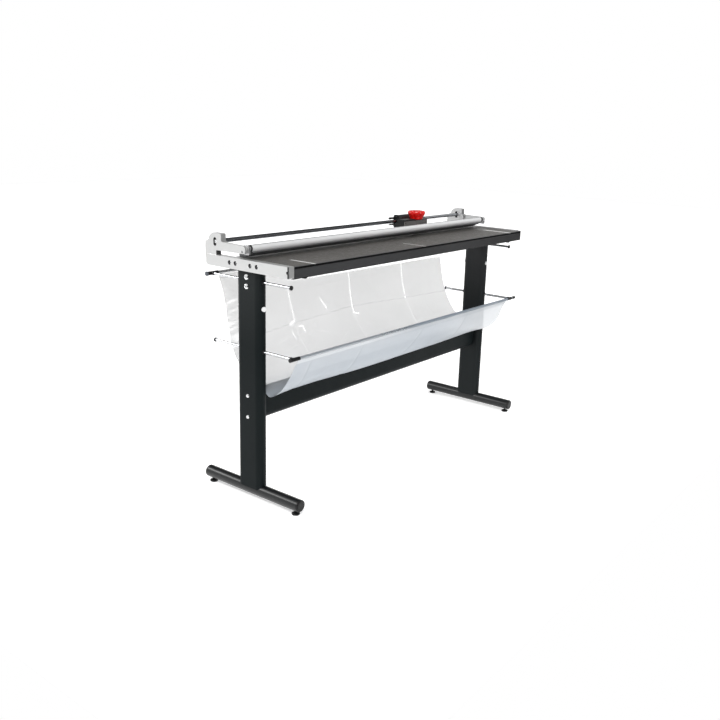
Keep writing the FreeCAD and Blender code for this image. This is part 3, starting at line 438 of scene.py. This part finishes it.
def smooth_path(points, step):
    """A curve through the points (centripetal Catmull-Rom), resampled evenly."""
    P = [np.array(p, float) for p in points]
    P = [2 * P[0] - P[1]] + P + [2 * P[-1] - P[-2]]
    out = []
    for i in range(1, len(P) - 2):
        p0, p1, p2, p3 = P[i - 1:i + 3]
        t0 = 0.0
        t1 = t0 + np.linalg.norm(p1 - p0) ** 0.5
        t2 = t1 + np.linalg.norm(p2 - p1) ** 0.5
        t3 = t2 + np.linalg.norm(p3 - p2) ** 0.5
        for t in np.linspace(t1, t2, 40, endpoint=False):
            a1 = (t1 - t) / (t1 - t0) * p0 + (t - t0) / (t1 - t0) * p1
            a2 = (t2 - t) / (t2 - t1) * p1 + (t - t1) / (t2 - t1) * p2
            a3 = (t3 - t) / (t3 - t2) * p2 + (t - t2) / (t3 - t2) * p3
            b1 = (t2 - t) / (t2 - t0) * a1 + (t - t0) / (t2 - t0) * a2
            b2 = (t3 - t) / (t3 - t1) * a2 + (t - t1) / (t3 - t1) * a3
            out.append((t2 - t) / (t2 - t1) * b1 + (t - t1) / (t2 - t1) * b2)
    out.append(P[-2])
    return resample(np.array(out), step)


def resample(pts, step):
    d = np.r_[0, np.cumsum(np.linalg.norm(np.diff(pts, axis=0), axis=1))]
    n = max(2, int(round(d[-1] / step)) + 1)
    s = np.linspace(0, d[-1], n)
    return np.stack([np.interp(s, d, pts[:, 0]), np.interp(s, d, pts[:, 1])], 1)


# ------------------------------------------------------------------ the film bag
REAR_ROD = np.array((205.0, 811.0))
FRONT_ROD = np.array((-200.0, 566.0))
LOOP_R = 6.0
MEET = 11.5          # from a rod's axis to where the hem's two legs meet
WELD = 15.0          # welded strip below that
PANEL = [(195.6, 783.0), (184.0, 748.0), (155.0, 600.0), (108.0, 502.0), (60.0, 451.0), (2.0, 421.0),
         (-20.0, 415.0), (-45.0, 403.0), (-62.0, 396.4), (-112.0, 429.0), (-150.0, 479.0), (-181.0, 535.0)]


def hem(rod, toward, free_side):
    """Points of a hem in (y, z), from the sheet's free edge up to where the panel leaves the weld.
    toward: unit vector from the rod to the panel. free_side: +1 or -1, the side of the panel the free edge lies on."""
    d = np.array(toward)
    n = np.array((-d[1], d[0])) * free_side
    g = 0.35
    pts = [rod + d * (MEET + WELD) + n * g, rod + d * MEET + n * g]
    half = math.acos(LOOP_R / MEET)
    a0 = math.atan2(d[1], d[0])
    turn = 1.0 if free_side > 0 else -1.0
    start, end = half, 2 * math.pi - half
    for t in np.linspace(start, end, 26):
        a = a0 + turn * t
        pts.append(rod + LOOP_R * np.array((math.cos(a), math.sin(a))))
    pts += [rod + d * MEET - n * g, rod + d * (MEET + WELD) - n * g]
    return np.array(pts)


def make_film(look):
    d_rear = np.array(PANEL[0]) - REAR_ROD
    d_rear /= np.linalg.norm(d_rear)
    d_front = np.array(PANEL[-1]) - FRONT_ROD
    d_front /= np.linalg.norm(d_front)
    rear = hem(REAR_ROD, d_rear, 1.0)
    front = hem(FRONT_ROD, d_front, 1.0)[::-1]
    rear_s, front_s = resample(rear, 2.2), resample(front, 2.2)
    mid = smooth_path([tuple(rear_s[-1])] + PANEL + [tuple(front_s[0])], 4.0)
    path = np.vstack([rear_s, mid[1:-1], front_s])
    n_rear, n_front = len(rear_s), len(front_s)
    arc = np.r_[0, np.cumsum(np.linalg.norm(np.diff(path, axis=0), axis=1))]
    total = arc[-1]
    # arc length measured from the rear rod, as the creases are given
    s_of = arc - arc[n_rear - 1] + MEET + WELD
    tang = np.gradient(path, axis=0)
    tang /= np.linalg.norm(tang, axis=1)[:, None]
    nor = np.stack([tang[:, 1], -tang[:, 0]], 1)      # the side of the bag's inside
    nu = 361
    u = np.linspace(0, 1, nu)
    S = np.repeat(s_of[:, None], nu, 1)
    left = np.interp(s_of, (0, 30, 173, 324, 420, 600, 690, 760), (-722, -721, -715, -722, -721, -729, -723, -722))
    right = np.interp(s_of, (0, 30, 80, 258, 368, 450, 560, 625, 705, 760), (722, 712, 701, 705, 702, 712, 733, 742, 727, 722))
    X = left[:, None] * (1 - u) + right[:, None] * u
    free = np.clip((S - 32) / 60, 0, 1) * np.clip((total - 2 * 60 - S + 20) / 60, 0, 1)

    # fold creases
    h = np.zeros_like(X)
    crease_and_highlight = np.zeros_like(X)
    fold_and_wrinkle_shade = np.zeros_like(X)

    def fold(at, s0, s1, height, width, gain, wobble, thick=1.9):
        xs = at + 1.6 * lattice_noise(S, 0 * S, 70.0, 1.0, wobble)
        dist = np.abs(X - xs)
        gate = np.clip((S - s0) / 25 + 0.5, 0, 1) * np.clip((s1 - S) / 25 + 0.5, 0, 1)
        var = 0.78 + 0.22 * lattice_noise(S, 0 * S, 45.0, 1.0, wobble + 5)
        np.add(h, height * gate * np.exp(-dist / width), out=h)
        np.maximum(crease_and_highlight, gain * gate * var * np.exp(-(dist / thick) ** 2), out=crease_and_highlight)

    # pressed folds: white down to where they cross the level fold, faint below it
    for k, (xa, xb) in enumerate(((-390.0, -372.0), (-12.0, -14.0), (366.0, 368.0))):
        at = xa + (xb - xa) * np.clip((S - 110) / 130, 0, 1)
        fold(at, (95, 80, 80)[k], (228, 258, 244)[k], 2.4, 9.0, (0.85, 1.0, 1.0)[k], 11 + 7 * k, (2.0, 2.3, 3.0)[k])
    for k, (xa, xb) in enumerate(((-378.0, -366.0), (-12.0, -4.0), (372.0, 376.0))):
        at = xa + (xb - xa) * np.clip((S - 250) / 150, 0, 1)
        fold(at, 262, 470, 1.8, 8.0, (0.28, 0.26, 0.42)[k], 31 + 7 * k, 2.2)
    for k, (xa, xb) in enumerate(((-352.0, -348.0), (5.0, 50.0), (387.0, 387.0), (-620.0, -641.0))):
        at = xa + (xb - xa) * np.clip((S - 570) / 130, 0, 1)
        fold(at, 500, 715, 1.8, 8.0, 0.0, 51 + 7 * k)
        # painted shade along the lower folds
        np.maximum(fold_and_wrinkle_shade, 0.16 * np.exp(-((X - at - 2.0) / 2.2) ** 2) * np.clip((S - 520) / 60, 0, 1), out=fold_and_wrinkle_shade)
    s_f = np.interp(X, (-722, -533, -414, -322, -187, -60, 87, 323, 382, 706, 722), (256, 254, 245, 242, 237, 230, 233, 245, 247, 258, 258))
    dist = np.abs(S - s_f)
    h += -1.3 * np.exp(-dist / 7.0)
    shade = 0.42 * np.exp(-(dist / 1.9) ** 2) * (0.75 + 0.25 * lattice_noise(X, S, 60.0, 400.0, 91))
    # a second set of soft folds across the panels
    s_g = np.interp(X, (-722, 0, 722), (118, 112, 121))
    h += 0.5 * np.exp(-np.abs(S - s_g) / 9.0)
    # short creases where the folds cross: centre, angle, length, half width, height, whiteness
    for cx, cs, ang, ln, wd, ht, gain in (
            (-386, 239, -0.40, 32, 4.4, 2.0, 0.95), (-397, 245, -0.40, 16, 5.0, 0.6, 0.7), (-350, 262, 0.0, 34, 3.4, 2.0, 0.8),
            (-337, 274, 1.25, 30, 3.6, 1.6, 0.8), (-400, 292, 1.30, 36, 2.6, 1.6, 0.6), (-194, 190, 0.98, 54, 3.0, 1.8, 0.55),
            (-182, 208, 1.0, 22, 3.6, 0.6, 0.7), (4, 265, 0.22, 34, 3.0, 1.8, 0.85), (-14, 258, 0.0, 10, 4.0, 0.6, 0.9),
            (368, 244, 0.0, 9, 6.0, 1.2, 1.0), (-250, 300, 0.25, 120, 1.6, 1.0, 0.16), (-455, 300, -0.2, 90, 1.8, 1.0, 0.16),
            (-440, 338, -0.15, 80, 1.8, 0.9, 0.14), (-300, 214, 0.6, 60, 1.6, 1.0, 0.14), (60, 330, 0.8, 70, 1.6, 0.8, 0.12),
            (-120, 345, -0.5, 90, 1.6, 0.8, 0.12), (180, 176, 1.35, 60, 1.6, 0.7, 0.10), (520, 330, 1.2, 60, 1.6, 0.7, 0.12)):
        ca, sa = math.cos(ang), math.sin(ang)
        along, across = (X - cx) * ca + (S - cs) * sa, -(X - cx) * sa + (S - cs) * ca
        g = np.exp(-(along / (ln * 0.5)) ** 4)
        h += ht * g * np.exp(-np.abs(across) / 7.0)
        np.maximum(crease_and_highlight, gain * g * np.exp(-(across / wd) ** 4), out=crease_and_highlight)

    # billow and wrinkles
    h += 5.0 * lattice_noise(X, S, 420.0, 240.0, 3) * free
    calm = 1 - 0.85 * np.clip((S - 470) / 60, 0, 1)
    h += 2.0 * lattice_noise(X, S, 150.0, 120.0, 4) * free * calm
    h += 0.4 * lattice_noise(X + 0.4 * S, S, 80.0, 60.0, 5) * free * calm
    near_left = np.exp(-((X + 700) / 110) ** 2)
    h += 2.4 * lattice_noise(X, S + 0.10 * X, 130.0, 15.0, 6) * near_left * np.clip((S - 60) / 80, 0, 1) * np.clip((420 - S) / 60, 0, 1)
    # painted light and shade of the wrinkles by the left edge: the bright part goes into the crease mark, the dark part
    # into the fold shade
    wrinkle_light_and_shade = lattice_noise(X, S + 0.16 * X, 90.0, 9.0, 61) * np.exp(-((X + 712) / 62) ** 2) * np.clip((S - 60) / 60, 0, 1) * (S < 440)
    np.maximum(crease_and_highlight, np.clip(0.8 * wrinkle_light_and_shade - 0.10, 0, 0.42), out=crease_and_highlight)
    np.maximum(fold_and_wrinkle_shade, np.clip(-0.26 * wrinkle_light_and_shade - 0.03, 0, 0.12), out=fold_and_wrinkle_shade)
    cross = np.exp(-(((X + 350) / 90) ** 2 + ((S - 270) / 60) ** 2))
    h += 2.2 * lattice_noise(X + 0.7 * S, S - 0.5 * X, 26.0, 30.0, 7) * cross
    # the ends of the front panel curl outwards
    endr = np.clip((X - 560) / 170, 0, 1) ** 2 * np.exp(-((S - 610) / 90) ** 2)
    endl = np.clip((-X - 600) / 130, 0, 1) ** 2 * np.exp(-((S - 600) / 90) ** 2)
    h += -9.0 * endr - 6.0 * endl
    # held flat on the crossbar and at the hems
    lie = np.exp(-((path[:, 0] - 2.0) / 26.0) ** 2)[:, None] * (path[:, 1] < 470)[:, None]
    h = h * free * (1 - 0.92 * lie)
    h = np.where(lie > 0.3, np.maximum(h, -0.25), h)

    Y = path[:, 0][:, None] + nor[:, 0][:, None] * h
    Z = path[:, 1][:, None] + nor[:, 1][:, None] * h
    verts = np.stack([X, Y, Z], -1).reshape(-1, 3) * MM
    nr = len(path)
    i = np.arange(nr - 1)[:, None] * nu + np.arange(nu - 1)[None, :]
    faces = np.stack([i, i + 1, i + 1 + nu, i + nu], -1).reshape(-1, 4)
    ob = mesh_object("film_sheet", verts.tolist(), faces.tolist())
    weld = np.zeros(nr)
    weld[s_of < MEET + WELD + 1] = 1.0
    weld[:n_rear] = np.where((np.arange(n_rear) < 8) | (np.arange(n_rear) > n_rear - 8), 1.0, 0.0)
    weld[-n_front:] = np.where((np.arange(n_front) < 8) | (np.arange(n_front) > n_front - 8), 1.0, 0.0)
    hem_v = np.zeros(nr)
    hem_v[:n_rear - 8] = 1.0
    hem_v[-n_front + 8:] = 1.0
    # the strip above the first fold is clear; painted shade along the front hem, darker to the right
    top_s = np.interp(X, (-722, 200, 722), (80.0, 83.0, 88.0))
    clear = np.clip((top_s - S) / 3.0, 0, 1) * np.clip((X + 420) / 420, 0, 1) * (np.arange(nr) >= n_rear - 8)[:, None]
    from_front = (arc[-n_front] - arc)[:, None]
    band = np.clip((X + 330) / 330, 0, 1) * np.clip((4.0 - from_front) / 3.0, 0, 1) * 0.8
    band = np.maximum(band, np.clip((X + 330) / 330, 0, 1) * 0.25 * np.exp(-(from_front / 9.0) ** 2))
    shade = np.maximum(shade, fold_and_wrinkle_shade)
    for name, val in (("clear", clear), ("band", band), ("crease_and_highlight", crease_and_highlight * free + 0 * X), ("weld", np.repeat(weld[:, None], nu, 1)), ("shade", shade * free),
                      ("hem", np.repeat(hem_v[:, None], nu, 1)),
                      ("arc", np.repeat((arc / total)[:, None], nu, 1))):
        a = ob.data.attributes.new(name, "FLOAT", "POINT")
        a.data.foreach_set("value", val.reshape(-1).astype(np.float32))
    ob.data.materials.append(look.mat)
    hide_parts("film_bag")
    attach(ob, "stand")
    print("FILM flat length mm", round(float(total), 1))
    return ob


# ------------------------------------------------------------------ the lobed knob
def make_knob(look):
    cx, cy, z0 = 359.0, 94.0, 943.3
    # (radius, height, how deep the flutes cut, 0 to 1)
    prof = [(4.4, 0.0, 0), (26.0, 0.0, 0), (27.3, 0.5, 0), (27.9, 2.0, 0.1), (28.9, 5.0, 0.3), (30.5, 9.0, 0.55),
            (32.5, 13.0, 0.8), (34.7, 17.0, 0.95), (36.9, 21.0, 1), (38.4, 24.2, 1), (39.0, 26.6, 1), (39.0, 29.5, 1),
            (38.6, 32.0, 1), (37.4, 34.3, 1), (35.2, 36.2, 0.97), (31.8, 37.5, 0.9), (28.0, 38.1, 0.72),
            (24.4, 38.4, 0.35), (21.3, 38.5, 0.1), (20.4, 38.5, 0), (19.8, 38.2, 0), (19.4, 37.5, 0),
            (18.9, 37.1, 0), (14.5, 37.0, 0), (7.0, 37.3, 0), (0.6, 37.4, 0)]
    n = 192
    verts, faces = [], []
    for r, hh, cut in prof:
        for i in range(n):
            a = 2 * math.pi * i / n
            b = (a - math.radians(11.0)) * 8
            # broad lobes with narrow rounded flutes between them
            flute = (0.5 + 0.5 * math.cos(b)) ** 2.6
            rr = r * (1 - 0.165 * cut * flute)
            verts.append(((cx + rr * math.cos(a)) * MM, (cy + rr * math.sin(a)) * MM, (z0 + hh) * MM))
    for k in range(len(prof) - 1):
        for i in range(n):
            j = (i + 1) % n
            faces.append((k * n + i, k * n + j, (k + 1) * n + j, (k + 1) * n + i))
    faces.append(tuple((len(prof) - 1) * n + i for i in range(n)))
    # blind bore for the stud
    base = len(verts)
    for r, hh in ((4.4, 16.0),):
        for i in range(n):
            a = 2 * math.pi * i / n
            verts.append(((cx + r * math.cos(a)) * MM, (cy + r * math.sin(a)) * MM, (z0 + hh) * MM))
    for i in range(n):
        j = (i + 1) % n
        faces.append((i, base + i, base + j, j))
    faces.append(tuple(base + i for i in reversed(range(n))))
    ob = mesh_object("knob_lobed", verts, faces)
    fix = bmesh.new()
    fix.from_mesh(ob.data)
    bmesh.ops.recalc_face_normals(fix, faces=fix.faces)
    fix.to_mesh(ob.data)
    fix.free()
    ob.data.materials.append(look.mat)
    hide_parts("knob")
    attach(ob, "knob")
    return ob


# ------------------------------------------------------------------ the clamp's springs
def make_springs(look):
    """The two coils between guide pin and end block, the top end on the block. On the cutter they shorten as the clamp
    goes down; here they are built at one length and ride with the clamp.
    """
    z0, z1, wire, mean, turns = 916.6, 929.9, 0.4, 2.3, 5.0
    steps, sides = 200, 8
    verts, faces = [], []
    for xm in (-774.9, 774.9):
        base = len(verts)
        for i in range(steps + 1):
            t = i / steps
            a = 2 * math.pi * turns * t
            out = np.array((math.cos(a), math.sin(a), 0.0))
            mid = np.array((xm, 2.4, z0 + wire + (z1 - z0 - 2 * wire) * t)) + mean * out
            for j in range(sides):
                b = 2 * math.pi * j / sides
                v = mid + wire * (math.cos(b) * out + math.sin(b) * np.array((0.0, 0.0, 1.0)))
                verts.append(tuple(float(c) * MM for c in v))
        for i in range(steps):
            for j in range(sides):
                p, q = base + i * sides + j, base + i * sides + (j + 1) % sides
                faces.append((p, q, q + sides, p + sides))
        faces.append(tuple(base + j for j in reversed(range(sides))))
        faces.append(tuple(base + steps * sides + j for j in range(sides)))
    ob = mesh_object("clamp_spring_coils", verts, faces)
    fix = bmesh.new()
    fix.from_mesh(ob.data)
    bmesh.ops.recalc_face_normals(fix, faces=fix.faces)
    fix.to_mesh(ob.data)
    fix.free()
    ob.data.materials.append(look.mat)
    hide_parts("clamp_springs")
    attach(ob, "clamp")
    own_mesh(ob)
    return ob


# ------------------------------------------------------------------ build
looks = make_looks()
slot_of = {}
for name, ob in NODES.items():
    for i, s in enumerate(ob.material_slots):
        key = s.material.name.split(".")[0] if s.material else ""
        if name == "rod_end_caps":
            s.material = looks["rod_cap_plastic"].mat
        elif name in ("foot_tube_left", "foot_tube_right"):
            s.material = looks["foot_coat"].mat
        elif name == "column_right" and key == "black_powder_coat":
            s.material = looks["coat_right_painted_light"].mat
        elif name == "rail":
            s.material = looks["rail_steel"].mat
        elif name == "clamp_strip":
            s.material = looks["strip_anodised"].mat
        elif name in ("arm_rod_lower_right", "arm_rod_upper_right"):
            s.material = looks["rod_painted_shade"].mat
        elif name.startswith(("arm_rod", "basket_rod")):
            s.material = looks["rod_chrome"].mat
        elif name in ("side_plate_left", "side_plate_right"):
            s.material = looks["plate_left" if name.endswith("left") else "plate_right"].mat
        elif name == "front_profile":
            s.material = looks["profile_anodised"].mat
        elif name == "clamp_end_blocks":
            s.material = looks["cast_aluminium"].mat
        elif key in looks:
            s.material = looks[key].mat
        elif key == "clear_film":
            pass
        else:
            print("NO LOOK for", name, key)

film = make_film(film_look())
knob = make_knob(looks["red_plastic"])
springs = make_springs(looks["zinc_plated_steel"])


# ------------------------------------------------------------------ studio
def floor():
    ob = mesh_object("floor", [(-1.8, -1.2, 0), (14, -1.2, 0), (14, 14, 0), (-1.8, 14, 0)], [(0, 1, 2, 3)], smooth=False)
    k = plain("floor_paper", (0.93, 0.93, 0.93), (0.95, 0.95, 0.95), rough=(0.7, 0.85), grain=60.0, bump=0.02,
              depth=0.0005, cloud=0.6, spec=0.15)
    k.put(Emission_Color=(1.0, 1.0, 1.0), Emission_Strength=0.34)
    ob.data.materials.append(k.mat)


def world():
    w = bpy.data.worlds.new("studio")
    bpy.context.scene.world = w
    w.use_nodes = True
    nt = w.node_tree
    bg = nt.nodes["Background"]
    tc = nt.nodes.new("ShaderNodeTexCoord")
    sep = nt.nodes.new("ShaderNodeSeparateXYZ")
    nt.links.new(tc.outputs["Generated"], sep.inputs[0])

    def remap(src, f0, f1, t0, t1):
        n = nt.nodes.new("ShaderNodeMapRange")
        n.interpolation_type = "SMOOTHSTEP"
        for key, v in (("From Min", f0), ("From Max", f1), ("To Min", t0), ("To Max", t1)):
            n.inputs[key].default_value = v
        nt.links.new(src, n.inputs["Value"])
        return n.outputs["Result"]

    def two(op, a, b):
        n = nt.nodes.new("ShaderNodeMath")
        n.operation = op
        for i, v in enumerate((a, b)):
            if isinstance(v, (int, float)):
                n.inputs[i].default_value = v
            else:
                nt.links.new(v, n.inputs[i])
        return n.outputs[0]

    def steps(*stops):
        n = nt.nodes.new("ShaderNodeValToRGB")
        nt.links.new(sep.outputs[2], n.inputs["Fac"])
        r = n.color_ramp
        while len(r.elements) < len(stops):
            r.elements.new(0.5)
        for e, (p, v) in zip(r.elements, stops):
            e.position = p
            e.color = (v, v, v, 1)
        return n.outputs["Color"]

    def mix(fac, a, b):
        n = nt.nodes.new("ShaderNodeMix")
        n.data_type = "FLOAT"
        nt.links.new(fac, n.inputs[0])
        for i, v in ((2, a), (3, b)):
            if isinstance(v, (int, float)):
                n.inputs[i].default_value = v
            else:
                nt.links.new(v, n.inputs[i])
        return n.outputs[0]

    # bright wall on the left and behind, dark ceiling on the right, dark room around the camera
    left = steps((0.0, 0.99), (0.2, 0.99), (0.6, 0.93), (0.85, 1.1), (1.0, 1.3))
    right = steps((0.0, 1.25), (0.15, 1.25), (0.27, 0.32), (0.40, 0.06), (0.68, 0.045), (0.84, 0.5), (0.93, 1.1), (1.0, 1.3))
    wall = mix(remap(sep.outputs[0], -0.40, 0.15, 0.0, 1.0), left, right)
    low = remap(sep.outputs[2], 0.60, 0.85, 1.0, 0.0)
    front = two("MULTIPLY", remap(sep.outputs[1], -0.32, -0.06, 1.0, 0.0), low)
    wall = mix(front, wall, 0.20)
    # a white screen standing at the far right
    side = two("MULTIPLY", remap(sep.outputs[0], 0.795, 0.815, 0.0, 1.0), remap(sep.outputs[2], 0.03, 0.08, 0.0, 1.0))
    wall = mix(side, wall, 0.85)
    # darkest right behind the camera
    dot = two("ADD", two("MULTIPLY", sep.outputs[0], -0.62), two("MULTIPLY", sep.outputs[1], -0.78))
    back = two("MULTIPLY", remap(dot, 0.72, 0.90, 0.0, 1.0), low)
    wall = mix(back, wall, 0.02)
    path = nt.nodes.new("ShaderNodeLightPath")
    seen = mix(path.outputs["Is Camera Ray"], wall, 1.0)
    nt.links.new(seen, bg.inputs["Color"])
    bg.inputs["Strength"].default_value = 1.0


def light(kind, name, loc, target, energy, size=1.0, size_y=None, angle=None, mirror=True, soft=True):
    d = bpy.data.lights.new(name, kind)
    d.energy = energy
    if kind == "AREA":
        d.shape = "RECTANGLE"
        d.size = size
        d.size_y = size_y or size
    if kind == "SUN":
        d.angle = math.radians(angle)
    o = bpy.data.objects.new(name, d)
    o.visible_glossy = mirror
    o.visible_diffuse = soft
    o.visible_camera = False
    bpy.context.scene.collection.objects.link(o)
    o.location = loc
    o.rotation_mode = "QUATERNION"
    o.rotation_quaternion = (Vector(target) - Vector(loc)).to_track_quat("-Z", "Y")
    return o


def camera():
    yaw, pitch, roll = (math.radians(a) for a in (52.51, -14.61, 1.84))
    fwd = Vector((math.sin(yaw) * math.cos(pitch), math.cos(yaw) * math.cos(pitch), math.sin(pitch)))
    right = Vector((math.cos(yaw), -math.sin(yaw), 0))
    up = right.cross(fwd)
    r2 = right * math.cos(roll) + up * math.sin(roll)
    u2 = -right * math.sin(roll) + up * math.cos(roll)
    c = bpy.data.cameras.new("photo_view")
    c.lens = 41.06
    c.sensor_width = 36.0
    c.shift_x = -0.02056
    c.shift_y = -0.0236
    c.clip_start, c.clip_end = 0.05, 300
    o = bpy.data.objects.new("photo_view", c)
    bpy.context.scene.collection.objects.link(o)
    m = Matrix((r2, u2, -fwd)).transposed().to_4x4()
    m.translation = Vector((-2.7050, -2.0432, 1.3310))
    o.matrix_world = m
    bpy.context.scene.camera = o


floor()
world()
light("SUN", "key", (-3.7, -2.4, 4.0), (0, 0, 0), 0.9, angle=7)
light("SUN", "front_fill", (-1.2, -4.0, 1.5), (0, 0, 0), 2.7, angle=75, mirror=False)
light("AREA", "rear_box", (-2.5, 2.55, 2.25), (-0.6, 0, 0.1), 54, 1.7, 0.6)
light("SUN", "flash", (-3.0, -2.3, 0.95), (0, 0, 0), 1.0, angle=14, soft=False)
camera()
bpy.context.scene.view_settings.view_transform = "Standard"
bpy.context.scene.view_settings.look = "None"
